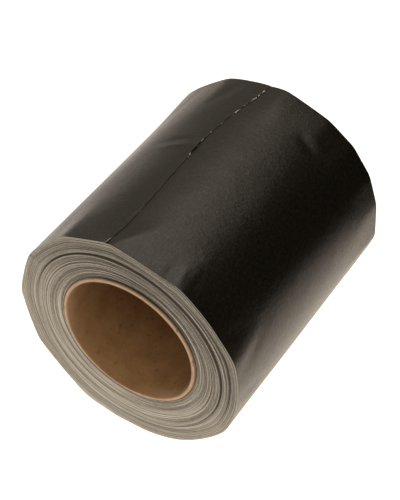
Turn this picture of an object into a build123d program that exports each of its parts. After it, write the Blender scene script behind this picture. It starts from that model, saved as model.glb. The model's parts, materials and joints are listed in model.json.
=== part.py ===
from build123d import *
import os
from math import asin, cos, degrees, radians, sin, sqrt

# A wide roll of cloth-backed adhesive tape, wound on a spiral-wound paperboard core.
# Frame: millimetres, +Z up. The roll lies on its side, its axis along Y, near end at -Y.
# The origin is on the floor, under the middle of the roll. Angles are in the XZ plane,
# from +X towards +Z.

os.makedirs("parts", exist_ok=True)

# ---- Driving dimensions ----

# Core tube: plies of kraft board glued on top of each other, from the bore outwards.
bore_d = 76.2
ply_thickness = {
    "core_liner_ply": 0.50,
    "core_body_ply_1": 0.55,
    "core_body_ply_2": 0.55,
    "core_body_ply_3": 0.55,
    "core_outer_ply": 0.43,
}
outer_ply = "core_outer_ply"

# The outer ply's strip starts in the near rim, a short step down beside its seam.
notch_angle = 229.0
notch_width = 3.0
notch_depth = 1.2

# Tape: one strip of three bonded layers, from the outside of the roll inwards.
tape_width = 145.0
layer_thickness = {"film": 0.10, "scrim": 0.10, "adhesive": 0.10}
turn_gap = 0.10  # air between the last turn and the free end on top of it

# Winding: the tight turns next to the core, and the looser turns outside them.
roll_r = 66.55
inner_pack_r = 55.95
core_offset = (1.67, 3.35)  # core axis from the last turn's centre, along X and Z
inner_pack_offset = (0.20, 1.15)  # the tight turns' centre, measured in the same way

# Telescoping: the core and the tight turns stand out of the roll's near end.
core_proud = 1.4
inner_pack_proud = 0.6

# The last turn is pressed flat where the roll lies on the floor.
flat_half = 6.0
blend_r = 30.0

# Free end: the last stretch of the strip, which peels off as a chain of segments.
tail_segments = 5
tail_root_angle = 150.0
segment_angle = 10.5
segment_gap = 0.15
tear_overrun = 6.0  # angle beyond the last segment that the torn edge is cut out of

# The torn edge seen from above: X at the near end, at its deepest point and at the far end.
tear_near_x = -8.9
tear_deepest = (-10.6, 10.0)
tear_far_x = -3.6

# ---- Worked-out sizes ----

half_turn = 180.0
down_angle = 270.0
strip_t = sum(layer_thickness.values())
pitch = strip_t + turn_gap
core_r = bore_d / 2 + sum(ply_thickness.values())

# Ends of the looser turns along Y. Core and roll together are centred on Y = 0.
roll_far_y = (tape_width + core_proud) / 2

# The flat meets the round stretches through two smaller arcs, tangent to both.
centre_to_blend = roll_r - blend_r
flat_sag = centre_to_blend - sqrt(centre_to_blend**2 - flat_half**2)
blend_angle = degrees(asin(flat_half / centre_to_blend))

# The last turn is two half turns with centres half a pitch apart, so that it spirals
# inwards by one pitch from the free end's root to the same angle one turn earlier.
turn_centre = (0.0, roll_r - flat_sag)
inner_half_r = roll_r - pitch / 2
inner_half_angle = tail_root_angle + half_turn
inner_half_centre = (
    turn_centre[0] + pitch / 2 * cos(radians(inner_half_angle)),
    turn_centre[1] + pitch / 2 * sin(radians(inner_half_angle)),
)
tail_r = roll_r + pitch / 2
gap_angle = degrees(segment_gap / roll_r)

core_axis = (turn_centre[0] + core_offset[0], turn_centre[1] + core_offset[1])
inner_pack_centre = (
    turn_centre[0] + inner_pack_offset[0],
    turn_centre[1] + inner_pack_offset[1],
)


def section_plane(proud):
    """The XZ plane at the far end of pieces that stand this far out of the near end.

    A sketch on it is drawn in X and Z, and is extruded towards the near end.
    """
    return Plane.XZ.offset(proud - roll_far_y)


def on_circle(centre, radius, angle):
    """A point of a circle, in X and Z."""
    return (
        centre[0] + radius * cos(radians(angle)),
        centre[1] + radius * sin(radians(angle)),
    )


def turn_path(depth, end_trim):
    """Draws the last turn's path at a depth below its outer face, flat included.

    end_trim is the angle by which the turn's inner end stops short. The path's two
    end points are returned, outer end first.
    """
    radius = roll_r - depth
    blend = blend_r - depth
    second_sweep = half_turn - end_trim
    left_sweep = down_angle - blend_angle - tail_root_angle
    right_start = down_angle + blend_angle
    CenterArc(turn_centre, radius, tail_root_angle, left_sweep)
    CenterArc((-flat_half, blend_r), blend, down_angle - blend_angle, blend_angle)
    Line((-flat_half, depth), (flat_half, depth))
    CenterArc((flat_half, blend_r), blend, down_angle, blend_angle)
    CenterArc(turn_centre, radius, right_start, inner_half_angle - right_start)
    CenterArc(inner_half_centre, inner_half_r - depth, inner_half_angle, second_sweep)
    outer_end = on_circle(turn_centre, radius, tail_root_angle)
    inner_end = on_circle(
        inner_half_centre, inner_half_r - depth, inner_half_angle + second_sweep
    )
    return outer_end, inner_end


# ---- Core ----

ply_r = bore_d / 2
for ply_name, thickness in ply_thickness.items():
    with BuildPart() as core_ply:
        with BuildSketch(section_plane(core_proud)):
            with Locations(core_axis):
                Circle(ply_r + thickness)
                Circle(ply_r, mode=Mode.SUBTRACT)
        extrude(amount=tape_width)
        if ply_name == outer_ply:
            notch_start = core_proud + tape_width - notch_depth
            with BuildSketch(section_plane(notch_start)):
                with Locations(on_circle(core_axis, core_r, notch_angle)):
                    Rectangle(3 * thickness, notch_width, rotation=notch_angle)
            extrude(amount=notch_depth, mode=Mode.SUBTRACT)
    core_ply.part.label = ply_name
    export_step(core_ply.part, f"parts/{ply_name}.step")
    ply_r += thickness

# ---- Wound strip: tight turns and looser turns ----

with BuildPart() as inner_pack:
    with BuildSketch(section_plane(inner_pack_proud)):
        with Locations(inner_pack_centre):
            Circle(inner_pack_r)
        with Locations(core_axis):
            Circle(core_r, mode=Mode.SUBTRACT)
    extrude(amount=tape_width)
inner_pack.part.label = "inner_pack"
export_step(inner_pack.part, "parts/inner_pack.step")

with BuildPart() as outer_pack:
    with BuildSketch(section_plane(0)):
        with BuildLine():
            Line(*turn_path(strip_t, 0))
        make_face()
        with Locations(inner_pack_centre):
            Circle(inner_pack_r, mode=Mode.SUBTRACT)
    extrude(amount=tape_width)
outer_pack.part.label = "outer_pack"
export_step(outer_pack.part, "parts/outer_pack.step")

# ---- Last turn, in its three layers ----

depth = 0.0
for layer, thickness in layer_thickness.items():
    node = f"last_turn_{layer}"
    with BuildPart() as turn_layer:
        with BuildSketch(section_plane(0)):
            with BuildLine():
                top_start, top_end = turn_path(depth, gap_angle)
                under_start, under_end = turn_path(depth + thickness, gap_angle)
                Line(top_start, under_start)
                Line(top_end, under_end)
            make_face()
        extrude(amount=tape_width)
    turn_layer.part.label = node
    export_step(turn_layer.part, f"parts/{node}.step")
    depth += thickness

# ---- Free end: segments of the three layers, the last one with the torn edge ----

for number in range(1, tail_segments + 1):
    is_last = number == tail_segments
    start_angle = tail_root_angle - (number - 1) * segment_angle - gap_angle
    end_angle = tail_root_angle - number * segment_angle + gap_angle
    if is_last:
        end_angle -= tear_overrun
    sweep = end_angle - start_angle
    depth = 0.0
    for layer, thickness in layer_thickness.items():
        node = f"tail_{number}_{layer}"
        top_r = tail_r - depth
        under_r = top_r - thickness
        with BuildPart() as tail_layer:
            with BuildSketch(section_plane(0)):
                with BuildLine():
                    CenterArc(inner_half_centre, top_r, start_angle, sweep)
                    CenterArc(inner_half_centre, under_r, start_angle, sweep)
                    for side in (start_angle, end_angle):
                        Line(
                            on_circle(inner_half_centre, top_r, side),
                            on_circle(inner_half_centre, under_r, side),
                        )
                make_face()
            extrude(amount=tape_width)
            if is_last:
                with BuildSketch(Plane.XY.offset(turn_centre[1])):
                    with BuildLine():
                        tear_near = (tear_near_x, roll_far_y - tape_width)
                        tear_far = (tear_far_x, roll_far_y)
                        ThreePointArc(tear_near, tear_deepest, tear_far)
                        Polyline(
                            tear_far, (roll_r, tear_far[1]), (roll_r, tear_near[1]), tear_near
                        )
                    make_face()
                extrude(amount=2 * roll_r, mode=Mode.SUBTRACT)
        tail_layer.part.label = node
        export_step(tail_layer.part, f"parts/{node}.step")
        depth += thickness
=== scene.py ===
import json
from math import asin, atan, ceil, cos, degrees, radians, sin, tau

import bpy
import numpy as np
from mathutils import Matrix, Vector


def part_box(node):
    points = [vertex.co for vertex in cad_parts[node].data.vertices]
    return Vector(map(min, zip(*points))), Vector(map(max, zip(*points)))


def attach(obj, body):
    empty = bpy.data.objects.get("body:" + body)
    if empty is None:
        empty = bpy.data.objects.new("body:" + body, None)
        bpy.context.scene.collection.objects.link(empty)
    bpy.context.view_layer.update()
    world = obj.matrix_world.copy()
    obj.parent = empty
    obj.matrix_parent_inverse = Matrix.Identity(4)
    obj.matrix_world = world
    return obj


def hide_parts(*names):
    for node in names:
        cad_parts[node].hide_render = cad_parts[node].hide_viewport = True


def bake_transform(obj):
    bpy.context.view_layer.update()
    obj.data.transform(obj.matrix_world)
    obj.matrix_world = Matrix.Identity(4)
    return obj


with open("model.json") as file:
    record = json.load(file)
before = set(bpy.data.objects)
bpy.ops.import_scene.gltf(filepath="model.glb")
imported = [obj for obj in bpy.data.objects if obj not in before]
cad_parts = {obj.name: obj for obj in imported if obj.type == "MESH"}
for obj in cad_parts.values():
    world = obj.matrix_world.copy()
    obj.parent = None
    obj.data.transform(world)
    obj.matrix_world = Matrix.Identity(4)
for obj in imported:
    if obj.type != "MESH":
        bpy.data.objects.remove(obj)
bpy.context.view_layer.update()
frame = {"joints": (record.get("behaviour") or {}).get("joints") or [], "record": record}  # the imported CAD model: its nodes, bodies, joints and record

# A roll of wide cloth-backed tape on a spiral-wound board core, lying on its side.
# Metres, in the CAD's frame: +Z up, the roll's axis along Y, the near end at -Y.
# An angle is in degrees in the XZ plane, from +X towards +Z. Along the strip it keeps
# counting: the free end lies below the root's angle and the last turn runs on above it.
# A clock angle is in degrees too, from the top of the roll towards +X.

MM = 0.001
FULL_TURN = 360.0
HALF_TURN = 180.0
QUARTER_TURN = 90.0

# ---- Places and sizes, from the frame ----


def hinge_point(joint):
    """Where a hinge's line crosses the XZ plane."""
    return np.array([joint["pos_m"][0], joint["pos_m"][2]])


def circle_through(p, q, r):
    """The centre and radius of the circle through three points."""
    sides = 2 * np.array([q - p, r - p])
    squares = np.array([q @ q - p @ p, r @ r - p @ p])
    centre = np.linalg.solve(sides, squares)
    return centre, float(np.linalg.norm(p - centre))


def middle_of(node):
    """The middle of a CAD node's box, in the XZ plane."""
    low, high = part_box(node)
    return np.array([(low.x + high.x) / 2, (low.z + high.z) / 2])


def width_of(node):
    """Half of a CAD node's size along X."""
    low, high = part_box(node)
    return (high.x - low.x) / 2


def direction(angle):
    """The unit vector at an angle, in X and Z."""
    turn = np.radians(angle)
    return np.stack([np.cos(turn), np.sin(turn)], -1)


peels = sorted(frame["joints"], key=lambda joint: joint["name"])
hinges = [hinge_point(joint) for joint in peels]
TAIL_CENTRE, TAIL_R = circle_through(hinges[0], hinges[2], hinges[4])
spokes = [hinge - TAIL_CENTRE for hinge in hinges]
hinge_angles = [degrees(np.arctan2(spoke[1], spoke[0])) for spoke in spokes]
ROOT = hinge_angles[0]
SEGMENT = hinge_angles[0] - hinge_angles[1]

film_low, film_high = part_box("last_turn_film")
TURN_R = -film_low.x
PITCH = 2 * (TAIL_R - TURN_R)
ROLL_CENTRE = TAIL_CENTRE + PITCH / 2 * direction(ROOT)
INNER_HALF_R = TURN_R - PITCH / 2
LAYER_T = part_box("last_turn_scrim")[0].x - film_low.x
STRIP_T = 3 * LAYER_T
NEAR_Y, FAR_Y = film_low.y, film_high.y

CORE_CENTRE = middle_of("core_liner_ply")
CORE_R = width_of("core_outer_ply")
PACK_CENTRE = middle_of("inner_pack")
PACK_R = width_of("inner_pack")

# The flat that the roll rests on and the arcs beside it, as the CAD draws them.
FLAT_HALF = 6 * MM
BLEND_R = 30 * MM
DOWN = 270.0
FLAT_ANGLE = degrees(atan(FLAT_HALF / ROLL_CENTRE[1]))
BLEND_ANGLE = degrees(asin(FLAT_HALF / (TURN_R - BLEND_R)))

# ---- Shape of the last turn ----

# Where the slack last turn has corners, at each end of the roll: clock angle, how far
# the corner stands out in millimetres, and how flat the stretch after it is pulled.
NEAR_CORNERS = [
    (-153, 1.0, 0.7), (-119, 0.4, 0.7), (-89, 0.4, 0.6), (-61, 0.2, 0.6), (-31, 1.1, 0.9),
    (-6, 1.5, 0.85), (30, 0.9, 0.4), (70, 1.1, 0.2), (118, 0.3, 0.2), (150, 0.0, 0.0),
]
FAR_CORNERS = [
    (-150, 0.3, 0.4), (-118, 0.5, 0.5), (-86, 0.6, 0.6), (-56, 1.0, 0.5), (-25, 0.6, 0.5),
    (6, 1.6, 0.75), (30, 1.2, 0.9), (46, 2.1, 1.1), (62, 1.6, 0.9), (78, 0.9, 0.8),
    (98, 1.4, 0.9), (118, 0.3, 0.5), (140, 0.1, 0.0),
]
CORNER_ROUNDING, MIDDLE_ROUNDING = 1.6, 9.0  # degrees, at the ends and at the middle
MIDDLE_SHARE = 0.2  # how much of each end's outline is left at the middle
END_REACH = 42 * MM  # how far an end's corners carry along the roll
WAIST = 0.15  # how far the middle is drawn in, in millimetres
REST_CLEAR = 12.0  # no slack within this angle of the bottom, and full slack at twice it

OUTLINE_STEP = 0.5  # degrees
outline_clocks = np.arange(-HALF_TURN, HALF_TURN, OUTLINE_STEP)


def slack_outline(corners, rounding):
    """How far the turn stands out at each of outline_clocks, in millimetres."""
    clocks = np.array([c[0] for c in corners] + [corners[0][0] + FULL_TURN])
    heights = np.array([c[1] for c in corners] + [corners[0][1]])
    flats = np.array([c[2] for c in corners])
    at = (outline_clocks - clocks[0]) % FULL_TURN + clocks[0]
    which = np.searchsorted(clocks, at, side="right") - 1
    span = clocks[which + 1] - clocks[which]
    t = (at - clocks[which]) / span
    straight = heights[which] * (1 - t) + heights[which + 1] * t
    chord_dip = TURN_R / MM * (1 - np.cos(np.radians(span / 2)))
    sharp = straight - flats[which] * chord_dip * 4 * t * (1 - t)
    offsets = (outline_clocks[:, None] - outline_clocks[None, :] + HALF_TURN) % FULL_TURN
    weights = np.exp(-(((offsets - HALF_TURN) / rounding) ** 2) / 2)
    return weights @ sharp / weights.sum(1)


near_outline = slack_outline(NEAR_CORNERS, CORNER_ROUNDING)
far_outline = slack_outline(FAR_CORNERS, CORNER_ROUNDING)
middle_outline = slack_outline(NEAR_CORNERS, MIDDLE_ROUNDING) * MIDDLE_SHARE
middle_outline = middle_outline + slack_outline(FAR_CORNERS, MIDDLE_ROUNDING) * MIDDLE_SHARE

# Creases pressed into the film: clock angle, y in mm, heading in degrees from the roll's
# axis, half length, half width and depth in mm. A negative depth is a ridge.
CREASES = [
    (26.5, -65, -6, 6.5, 1.9, -0.5), (21.0, -66, 0, 6.0, 1.8, 0.34), (33, -62, -8, 8.0, 2.4, 0.22),
    (-0.5, -63, 31, 11.0, 1.8, -0.22), (60, -62, 20, 11.0, 4.0, 0.3), (75, -56, -20, 14.0, 4.5, 0.35),
    (95, -58, 15, 14.0, 4.5, 0.4), (-40, -60, -15, 12.0, 4.5, 0.3), (-75, -58, 10, 14.0, 4.5, 0.4),
    (30, 50.5, 102, 7.0, 3.8, 0.78), (44, 57, 10, 10.0, 3.5, -0.2), (58, 58, 4, 14.0, 5.0, -0.4),
    (12, 60, 8, 10.0, 3.0, -0.22), (8, 58, -15, 8.0, 3.0, -0.2), (-3, 64, 10, 8.0, 3.0, 0.3),
    (-14, 60, -10, 9.0, 3.0, -0.2), (-22, 14, 74, 9.0, 2.1, 0.34), (-19, 9, 74, 10.0, 2.2, -0.26),
    (-20, 58, 25, 12.0, 3.0, 0.3), (-45, 52, 12, 18.0, 4.0, 0.3), (-50, 20, -8, 22.0, 4.0, 0.2),
    (105, 50, -10, 14.0, 4.0, 0.4), (125, 60, 12, 12.0, 4.0, 0.4), (-110, 60, -14, 12.0, 4.0, 0.5),
    (-130, -58, 12, 12.0, 4.0, 0.4), (-95, 55, 20, 14.0, 3.5, 0.4), (-12, -30, 6, 26.0, 3.5, 0.10),
]
ripple_draw = np.random.default_rng(11)
ripple_terms = [
    (ripple_draw.integers(2, 15), ripple_draw.normal(0, 45), ripple_draw.uniform(0, tau))
    for _ in range(16)
]
RIPPLE = 0.035  # millimetres, each of the sixteen
# The near corner by the tear runs to the right as it goes in: degrees per metre, and the
# clock angle within which it does.
FOLD_LEAN, FOLD_HALF = 0.5 / MM, 30


def smoothstep(t):
    """0 up to 0, 1 from 1 on, and a smooth rise between them."""
    t = np.clip(t, 0, 1)
    return t * t * (3 - 2 * t)


def clock_of(angle):
    """The clock angle, from -180 to 180."""
    return (QUARTER_TURN - np.asarray(angle) + HALF_TURN) % FULL_TURN - HALF_TURN


def window(clock, middle, half):
    """1 at a clock angle, falling to 0 at half to each side of it."""
    away = np.abs((clock - middle + HALF_TURN) % FULL_TURN - HALF_TURN)
    return smoothstep(1 - away / half)


def outline_at(outline, clock):
    """How far an outline stands out at a clock angle, in millimetres."""
    return np.interp(clock, outline_clocks, outline, period=FULL_TURN)


def slack(angle, y):
    """How far the last turn stands out from the CAD's smooth turn, in metres."""
    clock = clock_of(angle)
    near = smoothstep(1 - (y - NEAR_Y) / END_REACH) ** 1.5
    far = smoothstep(1 - (FAR_Y - y) / END_REACH) ** 1.5
    along = 2 * y / (FAR_Y - NEAR_Y)
    middle = outline_at(middle_outline, clock) - WAIST * (1 - along**2)
    leaning = clock - FOLD_LEAN * (y - NEAR_Y) * window(clock, 0, FOLD_HALF)
    stand = near * outline_at(near_outline, leaning) + far * outline_at(far_outline, clock)
    stand = stand + (1 - near - far) * middle
    for turns, per_metre, phase in ripple_terms:
        stand = stand + RIPPLE * np.cos(turns * np.radians(clock) + per_metre * y + phase)
    for at, crease_y, heading, half_length, half_width, depth in CREASES:
        across = (clock - at + HALF_TURN) % FULL_TURN - HALF_TURN
        across = np.radians(across) * TURN_R / MM
        down = y / MM - crease_y
        lean = radians(heading)
        length = (down * cos(lean) + across * sin(lean)) / half_length
        width = (across * cos(lean) - down * sin(lean)) / half_width
        stand = stand - depth * np.exp(-(length**2) - width**2)
    lying = smoothstep((HALF_TURN - np.abs(clock) - REST_CLEAR) / REST_CLEAR)
    return stand * lying * MM


def reach(angle, centre, radius):
    """How far it is from the roll's centre, at an angle, to the far side of a circle."""
    offset = centre - ROLL_CENTRE
    along = direction(angle) @ offset
    return along + np.sqrt(radius**2 - offset @ offset + along**2)


def smooth_reach(angle):
    """How far the film's outer face is from the roll's centre on the CAD's strip."""
    from_down = np.abs(angle - DOWN)
    mirrored = DOWN + from_down
    flat = ROLL_CENTRE[1] / np.cos(np.radians(np.minimum(from_down, FLAT_ANGLE)))
    blend = reach(mirrored, np.array([FLAT_HALF, BLEND_R]), BLEND_R)
    tail = reach(angle, TAIL_CENTRE, TAIL_R)
    second_half = reach(angle, TAIL_CENTRE, INNER_HALF_R)
    cases = [
        angle < ROOT, from_down < FLAT_ANGLE, from_down < BLEND_ANGLE, angle > ROOT + HALF_TURN
    ]
    return np.select(cases, [tail, flat, blend, second_half], TURN_R)


def put(angle, radius, y):
    """Points at angles and distances from the roll's centre, at y."""
    flat = ROLL_CENTRE + direction(angle) * np.asarray(radius)[..., None]
    height = np.maximum(flat[..., 1], 0)
    return np.stack([flat[..., 0], np.broadcast_to(y, height.shape), height], -1)


# ---- The torn edge ----

# The tear across the free end: y in mm and clock angle.
TEAR = [
    (-73, -7.7), (-59, -7.1), (-40, -7.2), (-8, -8.6), (17, -9.5), (38, -7.9), (59, -4.3),
    (74, -2.4),
]
# Where the torn cloth shows past the film: y and half length in mm.
TUFTS = [
    (4.4, 0.9), (17.1, 1.1), (25, 0.6), (33.5, 0.7), (45.8, 1.5), (52, 0.7), (59.2, 1.8),
    (63.5, 0.7), (67.3, 1.4),
]
TIP = 0.5  # mm of film alone at the torn edge
# Each layer's torn edge in mm: how ragged it is, how far it reaches past the tear's line
# where the edge is plain, and how far where it has a tuft.
TORN_LAYERS = {"film": (0.08, 0.0, -0.1), "scrim": (0.16, -0.35, 0.40), "adhesive": (0.1, -TIP, 0.05)}
SLOW_JAG = 0.16  # mm that the tear wanders, all layers together
# Where the edge has come unstuck: y, half length and gap in mm.
OPENED_Y, OPENED_HALF, OPENED = 11, 6, 0.5
CORNER_Y, CORNER_HALF, CORNER_LIFT = -71, 2.5, 0.3  # the near corner, lifted a little
TUFT_LIFT = 0.1  # mm
LIFT_REACH = 2.2  # mm from the edge over which the lift dies away
DENT = 0.1  # mm that the turn below gives under the torn edge
DENT_UNDER, DENT_BESIDE = 3.0, 1.2  # mm, how far the dent runs under the edge and beside it
TIP_PRESS, EDGE_PRESS, PRESS_REACH = 0.12, 0.04, 6  # mm, pressed down where it sticks
tear_draw = np.random.default_rng(5)
JAG_STEP = 0.45 * MM
jag_y = np.arange(NEAR_Y - MM, FAR_Y + MM, JAG_STEP)
jags = {
    name: tear_draw.normal(0, 1, len(jag_y)) for name in ("film", "scrim", "adhesive", "slow")
}


def tuft(y):
    """1 where cloth shows past the film's torn edge, 0 between those places."""
    shown = [np.exp(-(((y / MM - at) / half) ** 2)) for at, half in TUFTS]
    return np.minimum(sum(shown), 1)


def opened(y):
    """How far the torn edge stands off the turn below where it has come unstuck, in mm."""
    return OPENED * np.exp(-(((y / MM - OPENED_Y) / OPENED_HALF) ** 2))


def tear_clock(y):
    """The clock angle of the tear's smooth line."""
    ys = np.array([p[0] for p in TEAR]) * MM
    clocks = np.array([p[1] for p in TEAR])
    shifted = [np.interp(y + s, ys, clocks) for s in np.linspace(-6, 6, 7) * MM]
    return np.mean(shifted, 0)


def tear_angle(layer, y):
    """The strip angle at which a layer of the free end is torn."""
    ragged, plain, tufted = TORN_LAYERS[layer]
    slow = np.interp(y, jag_y[::5], jags["slow"][::5]) * SLOW_JAG
    fine = np.interp(y, jag_y, jags[layer]) * ragged
    stands_out = plain + (tufted - plain) * tuft(y)
    shift = (slow + fine + stands_out) * MM / TAIL_R
    return QUARTER_TURN - tear_clock(y) - np.degrees(shift)


def lip_lift(from_tear, y):
    """How far the free end lifts off the turn below it, from_tear millimetres inside."""
    corner = CORNER_LIFT * np.exp(-(((y / MM - CORNER_Y) / CORNER_HALF) ** 2))
    lift = opened(y) + TUFT_LIFT * tuft(y) + corner
    return lift * MM * np.exp(-np.maximum(from_tear, 0) / LIFT_REACH)


def lip_press(from_tear, y):
    """How far the free end is pressed down near the tear, where it still sticks."""
    tip = smoothstep(1 - from_tear / TIP) * TIP_PRESS
    stuck = 1 - np.maximum(opened(y) / OPENED, tuft(y))
    return (EDGE_PRESS * np.exp(-((from_tear / PRESS_REACH) ** 2)) + tip) * stuck * MM


def strip_point(angle, y, depth):
    """Points on the strip, at a depth below the film's outer face."""
    on_free_end = angle < ROOT
    before_tear = np.where(on_free_end, angle, angle - FULL_TURN) - QUARTER_TURN + tear_clock(y)
    from_tear = np.radians(before_tear) * TAIL_R / MM
    dent_reach = np.where(from_tear > 0, DENT_UNDER, DENT_BESIDE)
    dent = np.exp(-((from_tear / dent_reach) ** 2)) * DENT * MM
    lifted = lip_lift(from_tear, y) - lip_press(from_tear, y)
    free = smoothstep((ROOT - angle) / (2 * SEGMENT))
    radius = smooth_reach(angle) - depth + slack(angle, y) - dent
    return put(angle, radius + np.where(on_free_end, lifted * free, 0), y)


# ---- Materials ----


class Shader:
    """A node material, built by name."""

    def __init__(self, name):
        self.material = bpy.data.materials.new(name)
        self.material.use_nodes = True
        self.tree = self.material.node_tree
        self.surface = self.tree.nodes["Principled BSDF"]

    def node(self, kind, inputs=None, **settings):
        made = self.tree.nodes.new(kind)
        for setting, value in settings.items():
            setattr(made, setting, value)
        for socket, value in (inputs or {}).items():
            self.feed(made.inputs[socket], value)
        return made

    def feed(self, socket, value):
        if isinstance(value, bpy.types.NodeSocket):
            self.tree.links.new(value, socket)
        else:
            socket.default_value = value

    def math(self, operation, *values):
        made = self.node("ShaderNodeMath", operation=operation)
        for socket, value in zip(made.inputs, values):
            self.feed(socket, value)
        return made.outputs[0]

    def vector(self, operation, *values, output="Vector"):
        made = self.node("ShaderNodeVectorMath", operation=operation)
        for socket, value in zip(made.inputs, values):
            self.feed(socket, value)
        return made.outputs[output]

    def mix(self, factor, first, second):
        """A colour between two colours."""
        made = self.node("ShaderNodeMix", data_type="RGBA", clamp_factor=True)
        self.feed(made.inputs[0], factor)
        self.feed(made.inputs[6], first)
        self.feed(made.inputs[7], second)
        return made.outputs[2]

    def ramp(self, value, low, high, to_low=0.0, to_high=1.0):
        """value from low..high, taken to to_low..to_high."""
        inputs = {0: value, 1: low, 2: high, 3: to_low, 4: to_high}
        return self.node("ShaderNodeMapRange", inputs).outputs[0]

    def noise(self, place, scale, detail=2.0, roughness=0.5):
        inputs = {"Vector": place, "Scale": scale, "Detail": detail, "Roughness": roughness}
        return self.node("ShaderNodeTexNoise", inputs).outputs[0]

    def uv(self, name):
        return self.node("ShaderNodeUVMap", uv_map=name).outputs[0]

    def place(self):
        return self.node("ShaderNodeTexCoord").outputs["Object"]

    def stretched(self, place, x, y, z):
        return self.vector("MULTIPLY", place, (x, y, z))

    def bump(self, height, distance, under=None, strength=1.0):
        inputs = {"Height": height, "Distance": distance, "Strength": strength}
        if under is not None:
            inputs["Normal"] = under
        return self.node("ShaderNodeBump", inputs).outputs[0]

    def finish(self, **inputs):
        for socket, value in inputs.items():
            self.feed(self.surface.inputs[socket.replace("_", " ")], value)
        return self.material


THREAD_PITCH = 0.82 * MM


def weave(shader, uv, pitch):
    """A plain weave's height, from 0 to 1, over a strip's own coordinates in metres."""
    wander = shader.noise(uv, 160, 1)
    parts = shader.node("ShaderNodeSeparateXYZ", {0: uv})
    waves = []
    for axis in (0, 1):
        bend = shader.math("MULTIPLY", wander, 0.6 * pitch)
        along = shader.math("ADD", parts.outputs[axis], bend)
        turns = shader.math("MULTIPLY", along, tau / pitch)
        waves.append(shader.math("SINE", turns))
    crossing = shader.math("MULTIPLY", waves[0], waves[1])
    return shader.ramp(crossing, -1.0, 1.0)


def film_material():
    shader = Shader("black_film")
    uv = shader.uv("Strip")
    cloth = weave(shader, uv, THREAD_PITCH)
    peel = shader.noise(uv, 420, 3, 0.55)
    slow = shader.noise(uv, 55, 2, 0.5)
    grain = shader.noise(uv, 1000, 2, 0.65)
    normal = shader.bump(slow, 0.3 * MM)
    normal = shader.bump(peel, 0.12 * MM, normal)
    normal = shader.bump(cloth, 0.05 * MM, normal)
    normal = shader.bump(grain, 0.10 * MM, normal)
    tone = shader.ramp(shader.noise(uv, 650, 4, 0.7), 0.38, 0.62)
    colour = shader.mix(tone, (0.0024, 0.0021, 0.0014, 1), (0.0085, 0.0074, 0.0052, 1))
    rough = shader.ramp(shader.noise(uv, 500, 3, 0.6), 0.3, 0.7, 0.27, 0.37)
    return shader.finish(
        Base_Color=colour, Roughness=rough, Normal=normal,
        Specular_IOR_Level=0.5, Specular_Tint=(1.0, 0.88, 0.74, 1),
    )


def cloth_material():
    shader = Shader("scrim_cloth")
    uv = shader.uv("Strip")
    cloth = weave(shader, uv, THREAD_PITCH)
    fuzz = shader.noise(uv, 5200, 2, 0.6)
    normal = shader.bump(cloth, 0.12 * MM)
    normal = shader.bump(fuzz, 0.03 * MM, normal)
    colour = shader.mix(cloth, (0.34, 0.31, 0.25, 1), (0.66, 0.62, 0.54, 1))
    return shader.finish(Base_Color=colour, Roughness=0.85, Normal=normal)


def adhesive_material():
    shader = Shader("adhesive")
    uv = shader.uv("Strip")
    cloth = weave(shader, uv, THREAD_PITCH)
    blotches = shader.noise(uv, 130, 4, 0.6)
    normal = shader.bump(blotches, 0.12 * MM)
    normal = shader.bump(cloth, 0.05 * MM, normal)
    tone = shader.math("MULTIPLY", cloth, shader.ramp(blotches, 0.3, 0.7, 0.5, 1.0))
    colour = shader.mix(tone, (0.40, 0.37, 0.29, 1), (0.60, 0.57, 0.47, 1))
    rough = shader.ramp(blotches, 0.3, 0.7, 0.32, 0.6)
    return shader.finish(Base_Color=colour, Roughness=rough, Normal=normal)


def wound_material():
    """The cut edges of the wound strip, seen at the ends of the roll."""
    shader = Shader("wound_tape")
    uv = shader.uv("Turns")
    tone = shader.node("ShaderNodeAttribute", attribute_name="tone").outputs["Fac"]
    parts = shader.node("ShaderNodeSeparateXYZ", {0: uv})
    phase = shader.math("FRACT", parts.outputs[0])
    film_edge = shader.ramp(phase, 0.72, 0.82)
    place = shader.place()
    fuzz = shader.noise(place, 1500, 3, 0.65)
    blotch = shader.noise(place, 130, 3, 0.6)
    light = shader.mix(tone, (0.12, 0.105, 0.087, 1), (0.715, 0.665, 0.57, 1))
    light = shader.mix(shader.ramp(blotch, 0.35, 0.7, 0.0, 0.35), light, (0.28, 0.25, 0.20, 1))
    light = shader.mix(shader.ramp(fuzz, 0.35, 0.65, 0.0, 0.4), light, (0.60, 0.565, 0.505, 1))
    dark = (0.03, 0.027, 0.022, 1)
    colour = shader.mix(shader.math("MULTIPLY", film_edge, 0.7), light, dark)
    # A flank that faces outwards is the film's face, which is black.
    facing = shader.node("ShaderNodeNewGeometry").outputs["True Normal"]
    spoke = shader.vector("ADD", place, (-ROLL_CENTRE[0], 0, -ROLL_CENTRE[1]))
    spoke = shader.vector("NORMALIZE", shader.stretched(spoke, 1, 0, 1))
    outwards = shader.vector("DOT_PRODUCT", spoke, facing, output="Value")
    colour = shader.mix(shader.ramp(outwards, 0.2, 0.7, 0.0, 0.92), colour, dark)
    normal = shader.bump(fuzz, 0.12 * MM)
    return shader.finish(Base_Color=colour, Roughness=0.8, Normal=normal)


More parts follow.
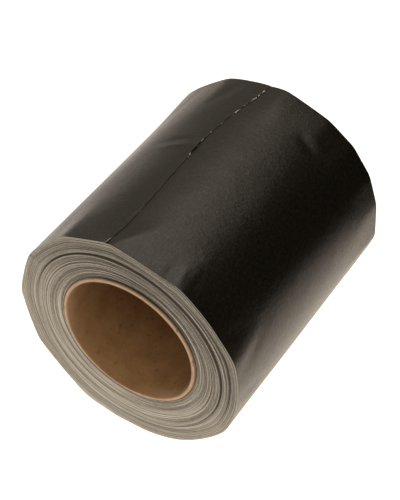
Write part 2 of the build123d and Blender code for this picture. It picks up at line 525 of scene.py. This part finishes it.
def kraft_material(name, dark, light, seam_tone, painted_wall_shade=None, painted_rim_light=None):
    """Board or paper of the core: fibres, specks and the slow clouding of recycled pulp. A colour
    given for the round faces is painted shade on them, and a colour given for the rims is painted
    light, paler near the rims and strongest above and at the right."""
    shader = Shader(name)
    place = shader.place()
    fibre_place = shader.stretched(place, 1, 0.22, 1)
    fibres = shader.noise(fibre_place, 2300, 4, 0.7)
    clouds = shader.noise(place, 95, 4, 0.6)
    specks = shader.noise(place, 1250, 1, 0.5)
    colour = shader.mix(shader.ramp(clouds, 0.3, 0.7), dark, light)
    colour = shader.mix(shader.ramp(fibres, 0.45, 0.75, 0.0, 0.35), colour, seam_tone)
    spots = shader.ramp(specks, 0.72, 0.76, 0.0, 0.6)
    colour = shader.mix(spots, colour, (0.09, 0.05, 0.025, 1))
    stains = shader.ramp(shader.noise(place, 240, 2, 0.5), 0.64, 0.69, 0.0, 0.65)
    colour = shader.mix(stains, colour, (0.13, 0.07, 0.03, 1))
    # Painted light: the bore is paler near the rims, strongest above and at the right, as where light
    # reaches in.
    if painted_rim_light is not None:
        parts = shader.node("ShaderNodeSeparateXYZ", {0: place})
        x, y, z = parts.outputs
        from_middle = shader.math("ABSOLUTE", y)
        ragged = shader.math("MULTIPLY_ADD", shader.noise(place, 60, 3), 0.014, from_middle)
        above = shader.ramp(z, 0.045, 0.075, 0.15, 1.0)
        right = shader.ramp(x, 0.005, 0.025, 0.15, 1.0)
        uneven = shader.math("MAXIMUM", above, right)
        painted_light_mask = shader.math("MULTIPLY", shader.ramp(ragged, 0.070, 0.086, 0.0, 0.8), uneven)
        colour = shader.mix(painted_light_mask, colour, painted_rim_light)
    # Painted shade: the round faces take their own darker colour, as the shade in the narrow gap
    # round the core.
    if painted_wall_shade is not None:
        facing = shader.node("ShaderNodeNewGeometry").outputs["True Normal"]
        parts = shader.node("ShaderNodeSeparateXYZ", {0: facing})
        side = shader.math("ABSOLUTE", parts.outputs[1])
        colour = shader.mix(shader.ramp(side, 0.3, 0.6), painted_wall_shade, colour)
    normal = shader.bump(fibres, 0.05 * MM)
    normal = shader.bump(clouds, 0.3 * MM, normal)
    return shader.finish(Base_Color=colour, Roughness=0.82, Normal=normal)


film = film_material()
cloth = cloth_material()
adhesive = adhesive_material()
wound = wound_material()
board = kraft_material(
    "kraft_board", (0.40, 0.28, 0.18, 1), (0.54, 0.39, 0.27, 1), (0.66, 0.50, 0.37, 1)
)
# The outermost ply is painted dark as shade where it is set back behind the inner plies, and its
# round wall darker still as painted shade in the narrow gap by the tight turns.
painted_shade_outer_board = kraft_material(
    "kraft_outer_board_painted_shade", (0.07, 0.042, 0.022, 1), (0.12, 0.075, 0.043, 1), (0.17, 0.11, 0.065, 1),
    (0.035, 0.024, 0.015, 1),
)
# The third ply is painted a mid brown: a lighter step of the painted shade where the plies are set
# back.
painted_half_shade_board = kraft_material(
    "kraft_board_painted_half_shade", (0.16, 0.096, 0.052, 1), (0.26, 0.162, 0.095, 1), (0.34, 0.22, 0.14, 1)
)
# The liner takes painted light near the rims, above and at the right.
liner = kraft_material(
    "kraft_liner", (0.186, 0.092, 0.030, 1), (0.264, 0.141, 0.053, 1), (0.365, 0.215, 0.10, 1),
    painted_rim_light=(0.55, 0.38, 0.255, 1),
)

# ---- Meshes ----

CREASE_ANGLE = radians(50)


def make_mesh(name, points, faces, material, uv_name=None, uvs=None):
    """An object from points and faces, smooth but for its sharp edges."""
    mesh = bpy.data.meshes.new(name)
    mesh.from_pydata(points.reshape(-1, 3).tolist(), [], faces.tolist())
    mesh.shade_smooth()
    mesh.set_sharp_from_angle(angle=CREASE_ANGLE)
    if uv_name:
        corners = np.zeros(len(mesh.loops), np.int64)
        mesh.loops.foreach_get("vertex_index", corners)
        layer = mesh.uv_layers.new(name=uv_name)
        layer.uv.foreach_set("vector", uvs.reshape(-1, 2)[corners].astype(np.float32).ravel())
    mesh.materials.append(material)
    mesh.validate()
    made = bpy.data.objects.new(name, mesh)
    bpy.context.scene.collection.objects.link(made)
    return made


def grid_faces(index):
    """The quads of a grid of point indexes."""
    quads = [index[:-1, :-1], index[:-1, 1:], index[1:, 1:], index[1:, :-1]]
    return np.stack(quads, -1).reshape(-1, 4)


def shell(name, top, under, uv, material):
    """A closed thin shell between two grids of points: angle by row, y by column."""
    rows, columns = top.shape[:2]
    upper = np.arange(rows * columns).reshape(rows, columns)
    lower = upper + rows * columns
    rims = [
        np.stack([upper[:, 0], lower[:, 0]], 1)[::-1],
        np.stack([upper[:, -1], lower[:, -1]], 1),
        np.stack([upper[0], lower[0]], 1),
        np.stack([upper[-1], lower[-1]], 1)[::-1],
    ]
    faces = [grid_faces(upper), grid_faces(lower)[:, ::-1]]
    faces += [grid_faces(rim)[:, ::-1] for rim in rims]
    points = np.stack([top, under])
    return make_mesh(name, points, np.concatenate(faces), material, "Strip", np.stack([uv, uv]))


RING_STEPS = 240
WALL_STATIONS = 16
WALL_START = 1.5 * MM  # the wall's first station, from the ring's end


def ring(name, section, place, tone, layer_of, material):
    """A closed ring: section is its outline as (share from inside to outside, y) pairs,
    and place gives a point for each share, y and angle."""
    shares, ys = section[:, 0], section[:, 1]
    angles = np.arange(RING_STEPS) * FULL_TURN / RING_STEPS
    share, y, angle = [
        np.broadcast_to(a, (len(section), RING_STEPS))
        for a in (shares[:, None], ys[:, None], angles[None, :])
    ]
    points = place(share, y, angle)
    index = np.arange(points.shape[0] * points.shape[1]).reshape(points.shape[:2])
    index = np.concatenate([index, index[:1]], 0)
    index = np.concatenate([index, index[:, :1]], 1)
    faces = grid_faces(index)
    made = make_mesh(name, points, faces, material)
    corners = np.zeros(len(made.data.loops), np.int64)
    made.data.loops.foreach_get("vertex_index", corners)
    if layer_of is not None:
        layer = made.data.uv_layers.new(name="Turns")
        values = layer_of(share, angle).reshape(-1)[corners]
        last_column = np.arange(len(corners)) // 4 % RING_STEPS == RING_STEPS - 1
        spin = corners % RING_STEPS / RING_STEPS + ((corners % RING_STEPS == 0) & last_column)
        layer.uv.foreach_set("vector", np.stack([values, spin], 1).astype(np.float32).ravel())
    if tone is not None:
        attribute = made.data.attributes.new("tone", "FLOAT", "POINT")
        attribute.data.foreach_set("value", tone(share, y, angle).astype(np.float32).ravel())
    return made


def ring_section(shares, near_y, far_y):
    """The outline of a ring: near face outwards, outer wall, far face inwards, bore."""
    walls = np.linspace(near_y + WALL_START, far_y - WALL_START, WALL_STATIONS)
    near = np.stack([shares, np.full_like(shares, near_y)], 1)
    outer = np.stack([np.full_like(walls, shares[-1]), walls], 1)
    far = np.stack([shares[::-1], np.full_like(shares, far_y)], 1)
    inner = np.stack([np.full_like(walls, shares[0]), walls[::-1]], 1)
    return np.concatenate([near, outer, far, inner])


# ---- The strip: last turn and free end ----

ANGLE_STEP = 1.15  # degrees between rows of points
END_FINE = 24 * MM  # how far the finer steps along the roll reach from each end
FINE_STEP, COARSE_STEP = 1.0 * MM, 2.4 * MM
TEAR_STATIONS = 291
TURN_GAP = 0.15 * MM  # the last turn stops this short of where it began


def stations():
    """y positions along the roll, closer together near its ends."""
    fine = np.arange(0, END_FINE, FINE_STEP)
    inside = FAR_Y - NEAR_Y - 2 * END_FINE
    coarse = np.linspace(END_FINE, END_FINE + inside, ceil(inside / COARSE_STEP) + 1)
    return np.concatenate([NEAR_Y + fine, NEAR_Y + coarse, FAR_Y - fine[::-1]])


LAYERS = {"film": film, "scrim": cloth, "adhesive": adhesive}


def strip_piece(name, layer, ys, first_angle, last_angle):
    """One layer of a stretch of strip. last_angle may have a value for each y."""
    depth = LAYER_T * list(LAYERS).index(layer)
    end = np.broadcast_to(last_angle, ys.shape)
    rows = ceil(abs(np.mean(end) - first_angle) / ANGLE_STEP) + 1
    t = np.linspace(0, 1, rows)[:, None]
    angle = first_angle * (1 - t) + end * t
    y = np.broadcast_to(ys, angle.shape)
    top = strip_point(angle, y, depth)
    under = strip_point(angle, y, depth + LAYER_T)
    uv = np.stack([np.radians(angle) * TURN_R, y], -1)
    if angle[-1, 0] < angle[0, 0]:
        top, under, uv = top[::-1], under[::-1], uv[::-1]
    made = shell(name, top, under, uv, LAYERS[layer])
    return made


last_turn_end = ROOT + FULL_TURN - degrees(TURN_GAP / TURN_R)
turn_ys = stations()
tear_ys = np.linspace(NEAR_Y, FAR_Y, TEAR_STATIONS)
for layer in LAYERS:
    made = strip_piece(f"last_turn_{layer}_strip", layer, turn_ys, ROOT, last_turn_end)
    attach(made, "roll")
    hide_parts(f"last_turn_{layer}")
    for number, hinge_angle in enumerate(hinge_angles, 1):
        first = ROOT if number == 1 else hinge_angle + SEGMENT / 2
        last = hinge_angle - SEGMENT / 2
        is_last = number == len(hinges)
        ys = tear_ys if is_last else turn_ys
        end = tear_angle(layer, ys) if is_last else last
        made = strip_piece(f"free_end_{number}_{layer}", layer, ys, first, end)
        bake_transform(made)
        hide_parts(f"tail_{number}_{layer}")

# ---- The wound packs ----

NEAR_PACK_Y, FAR_PACK_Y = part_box("inner_pack")[0].y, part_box("inner_pack")[1].y
TURN_SAMPLES = 4
JOIN_STEP = 1.6  # degrees over which the last turn's end runs into the pack
PACK_INSET = 1.3 * MM  # the hidden outer wall keeps this far inside the last turn


def turn_noise(seed, turns, per_turn, waves=5):
    """A random value for each turn that drifts as the turn goes round: a function of the
    turn's number, counted from the inside, and the angle."""
    draw = np.random.default_rng(seed)
    knots = np.arange(-1, turns + 2, 1 / per_turn)
    level = draw.normal(0, 1, len(knots))
    sizes = draw.normal(0, 0.45, (waves, len(knots)))
    phases = draw.uniform(0, tau, waves)

    def value(turn, angle):
        total = np.interp(turn, knots, level)
        for count in range(waves):
            swing = np.cos((count + 1) * np.radians(angle) + phases[count])
            total = total + np.interp(turn, knots, sizes[count]) * swing
        return total

    return value


# How far a turn's edge stands out, in mm: turn by turn, in bands of turns, the furthest in
# and out, and the step back where one turn meets the next.
TURN_RELIEF, BAND_RELIEF, DEEPEST, PROUDEST, TURN_STEP = 0.09, 0.15, -0.5, 0.4, 0.17
# A turn's tone from 0, dark, to 1, light: the mean, turn by turn, how much further the
# lightest turns go, and in bands of turns.
TONE, TURN_TONE, BRIGHT_TONE, BAND_TONE = 0.38, 0.22, 0.2, 0.24
PALE_TONE = 0.3  # added to the turns next to the film


def pack_ring(name, inner, outer, turns, near_y, far_y, seed, edge_profile, banding, pale_turns=0):
    """A pack of turns between two outlines, with the strip's edges as fine ridges. banding
    sizes the bands of a few turns, and pale_turns is how many turns next to the film are pale."""
    shares = np.linspace(0, 1, turns * TURN_SAMPLES + 1)
    section = ring_section(shares, near_y, far_y)
    near_noise = [turn_noise(seed, turns, 1.0), turn_noise(seed + 1, turns, 0.24)]
    far_noise = [turn_noise(seed + 4, turns, 1.0), turn_noise(seed + 5, turns, 0.24)]
    tints = turn_noise(seed + 2, turns, 1.0)
    broad_tints = turn_noise(seed + 3, turns, 0.5)

    def place(share, y, angle):
        at_near, at_far = y <= near_y, y >= far_y
        inside = inner(angle, y)
        outside = outer(angle, y)
        flat = inside * (1 - share)[..., None] + outside * share[..., None]
        turn = np.floor(share * turns + 0.01)
        edge = np.abs(share * turns - np.round(share * turns)) < 0.1
        fine = np.where(at_far, far_noise[0](turn, angle), near_noise[0](turn, angle))
        broad = np.where(at_far, far_noise[1](turn, angle), near_noise[1](turn, angle))
        out = TURN_RELIEF * fine + BAND_RELIEF * banding * broad
        out = np.clip(out, DEEPEST, PROUDEST) - np.where(edge, TURN_STEP, 0.0)
        out = out - edge_profile(share, angle)
        y_out = np.where(at_near, -out, np.where(at_far, out, 0)) * MM
        return np.stack([flat[..., 0], y + y_out, flat[..., 1]], -1)

    def tone(share, y, angle):
        turn = np.floor(share * turns + 0.01)
        fine = tints(turn, angle)
        level = TONE + TURN_TONE * fine + BRIGHT_TONE * np.maximum(fine - 0.8, 0)
        level = level + BAND_TONE * banding * broad_tints(turn, angle)
        if pale_turns:
            level = level + PALE_TONE * smoothstep((turn - turns + pale_turns) / 3)
        return np.clip(level, 0, 1)

    def layer_of(share, angle):
        return share * turns

    made = ring(name, section, place, tone, layer_of, wound)
    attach(made, "roll")
    return made


def circle_outline(centre, radius_of):
    """An outline round a centre, whose radius may vary with angle and y."""
    return lambda angle, y: centre + direction(angle) * radius_of(angle, y)[..., None]


def core_gap(angle, y):
    """The tight turns' inner radius: they stand off the core at the upper right."""
    return CORE_R + (0.05 + 1.45 * window(clock_of(angle), 25, 85)) * MM


# Where the tight turns' outline stands out from the CAD's circle, or is drawn in: clock
# angle, half width in degrees, and mm.
PACK_BULGES = [(172, 75, 0.7), (105, 40, 0.15), (35, 48, -0.45), (-12, 25, 0.15), (-75, 50, -0.2)]


def pack_edge(angle, y):
    """The tight turns' outline: round in the CAD, a little uneven here."""
    clock = clock_of(angle)
    out = sum(height * window(clock, middle, half) for middle, half, height in PACK_BULGES)
    return PACK_R + out * MM


def groove_edge(angle, y):
    """The looser turns' inner radius: a narrow groove outside the tight turns."""
    gap = 0.12 + 0.22 * window(clock_of(angle), 15, 115)
    return pack_edge(angle, y) + gap * MM


def pack_outside(angle, y):
    """The inner face of the last turn, with the step where its inner end runs in."""
    wound_angle = ROOT + (angle - ROOT) % FULL_TURN
    joined = smoothstep((wound_angle - ROOT) / JOIN_STEP)
    radius = smooth_reach(wound_angle) - STRIP_T - (1 - joined) * PITCH - 0.03 * MM
    from_end = np.minimum(y - NEAR_Y, FAR_Y - y)
    radius = radius + slack(angle, y) - PACK_INSET * smoothstep(from_end / WALL_START)
    return put(angle, radius, y)[..., [0, 2]]


def inner_profile(share, angle):
    """How far the tight turns' ends are set back in mm: rounded off at the groove, and pushed
    out beside the gap round the core."""
    beside_gap = window(clock_of(angle), 28, 120) * smoothstep(1 - share / 0.4)
    return 0.5 * smoothstep((share - 0.98) / 0.02) - 0.2 * beside_gap


def outer_profile(share, angle):
    """How far the looser turns' ends are set back in mm, with a second, shallower groove."""
    clock = clock_of(angle)
    second = window(clock, 80, 55) * np.exp(-(((share - 0.52) / 0.035) ** 2)) * 0.7
    return 0.45 * smoothstep((0.06 - share) / 0.06) + second


inner_pack = pack_ring(
    "tight_turns", circle_outline(CORE_CENTRE, core_gap), circle_outline(PACK_CENTRE, pack_edge),
    47, NEAR_PACK_Y, FAR_PACK_Y, 21, inner_profile, 0.85,
)
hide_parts("inner_pack")
outer_pack = pack_ring(
    "looser_turns", circle_outline(PACK_CENTRE, groove_edge), pack_outside,
    31, NEAR_Y, FAR_Y, 31, outer_profile, 0.4, pale_turns=3.5,
)
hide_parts("outer_pack")

# ---- The core ----

# The notch where the spiral's seam ends in the near rim: degrees, and depth in mm.
NOTCH_ANGLE, NOTCH_HALF, NOTCH_DEPTH = 229.0, 2.6, 1.5
PLIES = ["core_liner_ply", "core_body_ply_1", "core_body_ply_2", "core_body_ply_3", "core_outer_ply"]
# The third and outermost plies carry painted shade, darker the further out.
PLY_MATERIALS = dict(zip(PLIES, [liner, board, board, painted_half_shade_board, painted_shade_outer_board]))
RIM_SET_BACK = 0.10  # mm, of every ply's rims
PLY_SET_BACK = dict(zip(PLIES, [0.0, -0.05, 0.08, 0.35, 0.6]))  # mm more
RIM_ROUNDING = 0.07  # mm, at a ply's inner and outer edges
EDGE_SHARE = 0.1  # of a ply's thickness


def ply_piece(node, seed):
    """One ply of the core tube, its rims a little uneven."""
    low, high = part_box(node)
    outer = (high.x - low.x) / 2
    thickness = PLY_T[node]
    draw = np.random.default_rng(seed)
    waves = [(n, draw.normal(0, 0.035), draw.uniform(0, tau)) for n in range(1, 9)]
    waves += [(n, draw.normal(0, 0.018), draw.uniform(0, tau)) for n in range(11, 60, 4)]
    lift = PLY_SET_BACK[node]
    shares = np.array([0.0, 0.15, 0.5, 0.85, 1.0])
    section = ring_section(shares, low.y, high.y)

    def place(share, y, angle):
        radius = outer - thickness * (1 - share)
        flat = CORE_CENTRE + direction(angle) * radius[..., None]
        at_near, at_far = y <= low.y, y >= high.y
        uneven = lift + sum(a * np.cos(n * np.radians(angle) + p) for n, a, p in waves)
        at_edge = (share < EDGE_SHARE) | (share > 1 - EDGE_SHARE)
        set_back = RIM_SET_BACK + np.where(at_edge, RIM_ROUNDING, 0) + uneven
        if node in PLIES[2:]:
            away = np.abs((angle - NOTCH_ANGLE + HALF_TURN) % FULL_TURN - HALF_TURN)
            notch = np.where(away < NOTCH_HALF, NOTCH_DEPTH, 0)
            set_back = set_back + np.where(at_near, notch, 0)
        y_in = np.where(at_near, set_back, np.where(at_far, -set_back, 0)) * MM
        return np.stack([flat[..., 0], y + y_in, flat[..., 1]], -1)

    made = ring(f"{node}_tube", section, place, None, None, PLY_MATERIALS[node])
    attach(made, "roll")
    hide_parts(node)


ply_radii = [width_of(node) for node in PLIES]
bore_mount = next(m for m in frame["record"]["mounts"] if m["name"] == "core_bore")
ply_inner = [bore_mount["dims"]["r_mm"] * MM] + ply_radii[:-1]
PLY_T = {node: r - inner for node, r, inner in zip(PLIES, ply_radii, ply_inner)}
for seed, node in enumerate(PLIES):
    ply_piece(node, seed)

# ---- Torn threads ----

thread_draw = np.random.default_rng(8)
THREAD_R, STANDING_R = 0.045, 0.07  # millimetres
# Longer threads: y and length in mm, lean along the roll, rise.
STANDING_THREADS = [
    (-71.4, 1.8, -0.6, 1.1), (-70.9, 2.1, 0.4, 1.0), (-70.2, 1.6, -0.2, 0.9), (-69.0, 1.5, 0.5, 0.8),
    (5.0, 1.6, -0.9, 0.4), (46.5, 1.4, 0.8, 0.6),
]


def thread_tube(path, radius, sides=5):
    """A thin tube along a path, closed at both ends: its points and faces."""
    path = np.asarray(path)
    along = np.gradient(path, axis=0)
    along /= np.linalg.norm(along, axis=1)[:, None]
    side = np.cross(along, (0, 0, 1.0))
    side /= np.linalg.norm(side, axis=1)[:, None]
    up = np.cross(side, along)
    turn = np.arange(sides) * tau / sides
    taper = np.linspace(1.0, 0.55, len(path))[:, None, None] * radius
    rim = side[:, None] * np.cos(turn)[None, :, None] + up[:, None] * np.sin(turn)[None, :, None]
    points = path[:, None] + rim * taper
    index = np.arange(len(path) * sides).reshape(len(path), sides)
    index = np.concatenate([index, index[:, :1]], 1)
    faces = grid_faces(index).tolist()
    faces += [list(range(sides))[::-1], [int(i) for i in index[-1, :-1]]]
    return points.reshape(-1, 3), faces


def thread_ends():
    """Each thread's y and length in mm, its lean along the roll, its rise and its radius."""
    ends = [standing + (STANDING_R,) for standing in STANDING_THREADS]
    for _ in range(110):
        y = thread_draw.uniform(NEAR_Y / MM + 1, FAR_Y / MM - 1)
        length = thread_draw.gamma(2.0, 0.3) + 0.15
        lean, rise = thread_draw.normal(0, 0.6), thread_draw.uniform(0.02, 0.5)
        hidden = 0.85 if y < 0 and length < 1.3 else 0.4 * (1 - tuft(y * MM))
        if thread_draw.uniform() >= hidden:
            ends.append((y, length, lean, rise, THREAD_R))
    return ends


def threads():
    """Short ends of scrim thread that stick out of the tear."""
    points, faces, count = [], [], 0
    for y, length, lean, rise, radius in thread_ends():
        y, length = y * MM, length * MM
        start = float(tear_angle("scrim", np.array([y]))[0]) + 0.25
        t = np.linspace(0, 1, 5)
        angle = start - np.degrees(length * t / TAIL_R)
        across = y + lean * length * t + thread_draw.normal(0, 0.1) * MM * t**2
        base = strip_point(np.full(5, start), across, 1.5 * LAYER_T)
        ahead = strip_point(angle, across, 1.5 * LAYER_T)
        lifted = ahead - base
        path = base[0] + lifted
        path[:, 2] += rise * length * t**1.5
        path[:, 1] = across
        tube, tube_faces = thread_tube(path, radius * MM)
        points.append(tube)
        faces += [[i + count for i in face] for face in tube_faces]
        count += len(tube)
    mesh = bpy.data.meshes.new("torn_threads")
    mesh.from_pydata(np.concatenate(points).tolist(), [], faces)
    mesh.shade_smooth()
    mesh.materials.append(thread_material())
    made = bpy.data.objects.new("torn_threads", mesh)
    bpy.context.scene.collection.objects.link(made)
    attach(made, f"tail_{len(hinges)}")


def thread_material():
    shader = Shader("torn_thread")
    fuzz = shader.noise(shader.place(), 6000, 2)
    colour = shader.mix(fuzz, (0.55, 0.52, 0.45, 1), (0.85, 0.82, 0.75, 1))
    return shader.finish(Base_Color=colour, Roughness=0.9, Normal=shader.bump(fuzz, 0.02 * MM))


threads()

# ---- Floor, light and camera ----

FLOOR_HALF = 5.0
FLOOR_DROP = 0.05 * MM
# The floor glows, so that it shows white: its light to the left and to the right of the roll,
# where it fades at the right, and far off.
LEFT_GLOW, RIGHT_GLOW = (1.12, 1.0, 0.89, 1), (1.52, 1.33, 1.13, 1)
BESIDE_GLOW, FAR_GLOW = (0.3, 0.25, 0.2, 1), (0.31, 0.265, 0.22, 1)
BESIDE = (0.895, 0.445, 0)  # the direction in which it fades at the right


def floor():
    """A pale floor, whose light the film reflects."""
    mesh = bpy.data.meshes.new("floor")
    half = FLOOR_HALF
    corners = [(-half, -half, 0), (half, -half, 0), (half, half, 0), (-half, half, 0)]
    mesh.from_pydata(corners, [], [(0, 1, 2, 3)])
    made = bpy.data.objects.new("floor", mesh)
    bpy.context.scene.collection.objects.link(made)
    made.location.z = -FLOOR_DROP
    shader = Shader("floor")
    place = shader.place()
    paper = shader.noise(place, 30, 2)
    colour = shader.mix(paper, (0.28, 0.275, 0.265, 1), (0.31, 0.305, 0.295, 1))
    parts = shader.node("ShaderNodeSeparateXYZ", {0: place})
    to_right = shader.ramp(parts.outputs[0], -0.04, 0.10)
    glow = shader.mix(to_right, LEFT_GLOW, RIGHT_GLOW)
    beside = shader.vector("DOT_PRODUCT", place, BESIDE, output="Value")
    fading = shader.math("MULTIPLY", to_right, shader.ramp(beside, 0.02, 0.115, 0.0, 0.15))
    glow = shader.mix(fading, glow, BESIDE_GLOW)
    glow = shader.mix(shader.ramp(beside, 0.118, 0.20, 0.0, 0.5), glow, BESIDE_GLOW)
    away = shader.vector("LENGTH", place, output="Value")
    glow = shader.mix(shader.ramp(away, 0.41, 0.60), glow, FAR_GLOW)
    shader.finish(Base_Color=colour, Roughness=0.9, Emission_Color=glow, Emission_Strength=1.0)
    mesh.materials.append(shader.material)


SKY_COLOUR = (1.0, 0.93, 0.83, 1)
SKY_LEVEL = 0.46
DARK_SIDE, DARK_LEVEL = (0.82, 0.55, 0.15), 0.04  # the way it lies, and its strength
FRONT_LIGHT, FRONT_LEVEL = (0.22, -0.40, 0.89), 2.75


def sky():
    """A studio seen from the roll: mid grey, dark at the right and behind, and a large soft
    light above the front."""
    world = bpy.data.worlds.new("studio")
    bpy.context.scene.world = world
    world.use_nodes = True
    tree = world.node_tree
    background = tree.nodes["Background"]
    background.inputs["Color"].default_value = SKY_COLOUR

    def node(kind, **settings):
        made = tree.nodes.new(kind)
        for setting, value in settings.items():
            setattr(made, setting, value)
        return made

    def ranged(value, low, high, to_low, to_high):
        made = node("ShaderNodeMapRange", interpolation_type="SMOOTHSTEP")
        tree.links.new(value, made.inputs[0])
        for socket, number in zip(made.inputs[1:5], (low, high, to_low, to_high)):
            socket.default_value = number
        return made.outputs[0]

    towards = node("ShaderNodeTexCoord").outputs["Generated"]

    def facing(aim):
        """How closely a direction points to an aim."""
        made = node("ShaderNodeVectorMath", operation="DOT_PRODUCT")
        tree.links.new(towards, made.inputs[0])
        made.inputs[1].default_value = aim
        return made.outputs["Value"]

    dim = ranged(facing(DARK_SIDE), 0.25, 0.85, SKY_LEVEL, DARK_LEVEL)
    front = ranged(facing(FRONT_LIGHT), 0.85, 1.0, 0.0, FRONT_LEVEL)
    total = node("ShaderNodeMath", operation="ADD")
    tree.links.new(dim, total.inputs[0])
    tree.links.new(front, total.inputs[1])
    tree.links.new(total.outputs[0], background.inputs["Strength"])


FLAG_AZIMUTH = 135.0
FLAG_DISTANCE, FLAG_SHIFT = 0.215, 0.2  # away from the roll, and along the panel
FLAG_WIDTH, FLAG_HEIGHT = 1.0, 0.34
FLAG_LEAN = 0.25  # how far its top leans away, as a share of its height


def flag():
    """A black panel beside the roll, as a photographer stands one up to darken a side."""
    azimuth = radians(FLAG_AZIMUTH)
    away = Vector((sin(azimuth), -cos(azimuth), 0))
    along = Vector((cos(azimuth), sin(azimuth), 0))
    foot = away * FLAG_DISTANCE + along * FLAG_SHIFT
    half = along * FLAG_WIDTH / 2
    low = foot + Vector((0, 0, MM))
    high = foot + Vector((0, 0, FLAG_HEIGHT)) + away * FLAG_HEIGHT * FLAG_LEAN
    corners = [low - half, low + half, high + half, high - half]
    mesh = bpy.data.meshes.new("flag")
    mesh.from_pydata([tuple(c) for c in corners], [], [(0, 1, 2, 3)])
    made = bpy.data.objects.new("flag", mesh)
    bpy.context.scene.collection.objects.link(made)
    made.visible_camera = False
    shader = Shader("flag")
    shader.finish(Base_Color=(0.02, 0.018, 0.015, 1), Roughness=1.0, Specular_IOR_Level=0.0)
    mesh.materials.append(shader.material)


def softbox(name, place, aim, width, height, power):
    """A large soft area light, aimed at a point."""
    data = bpy.data.lights.new(name, "AREA")
    data.shape = "RECTANGLE"
    data.size, data.size_y = width, height
    data.energy = power
    made = bpy.data.objects.new(name, data)
    bpy.context.scene.collection.objects.link(made)
    made.location = place
    made.rotation_mode = "QUATERNION"
    made.rotation_quaternion = (Vector(aim) - Vector(place)).to_track_quat("-Z", "Y")
    made.visible_camera = False


CAMERA_AZIMUTH, CAMERA_ELEVATION = radians(32.3), radians(45.4)
CAMERA_DISTANCE = 0.705
CAMERA_AIM = Vector((0.0127, -0.0223, 0.0977))
SENSOR_WIDTH, FOCAL_LENGTH = 36, 99.8  # millimetres


def camera():
    """The camera stands to the front right, above the roll."""
    level = cos(CAMERA_ELEVATION)
    back = Vector(
        (sin(CAMERA_AZIMUTH) * level, -cos(CAMERA_AZIMUTH) * level, sin(CAMERA_ELEVATION))
    )
    data = bpy.data.cameras.new("camera")
    data.sensor_width = SENSOR_WIDTH
    data.lens = FOCAL_LENGTH
    made = bpy.data.objects.new("camera", data)
    bpy.context.scene.collection.objects.link(made)
    made.location = CAMERA_AIM + back * CAMERA_DISTANCE
    made.rotation_mode = "QUATERNION"
    made.rotation_quaternion = (-back).to_track_quat("-Z", "Y")
    bpy.context.scene.camera = made


floor()
sky()
flag()
softbox(
    "back_softbox", place=(-0.03, 0.235, 0.68), aim=(0, 0, 0.06),
    width=0.36, height=0.25, power=0.95,
)
camera()
bpy.context.scene.view_settings.view_transform = "Standard"
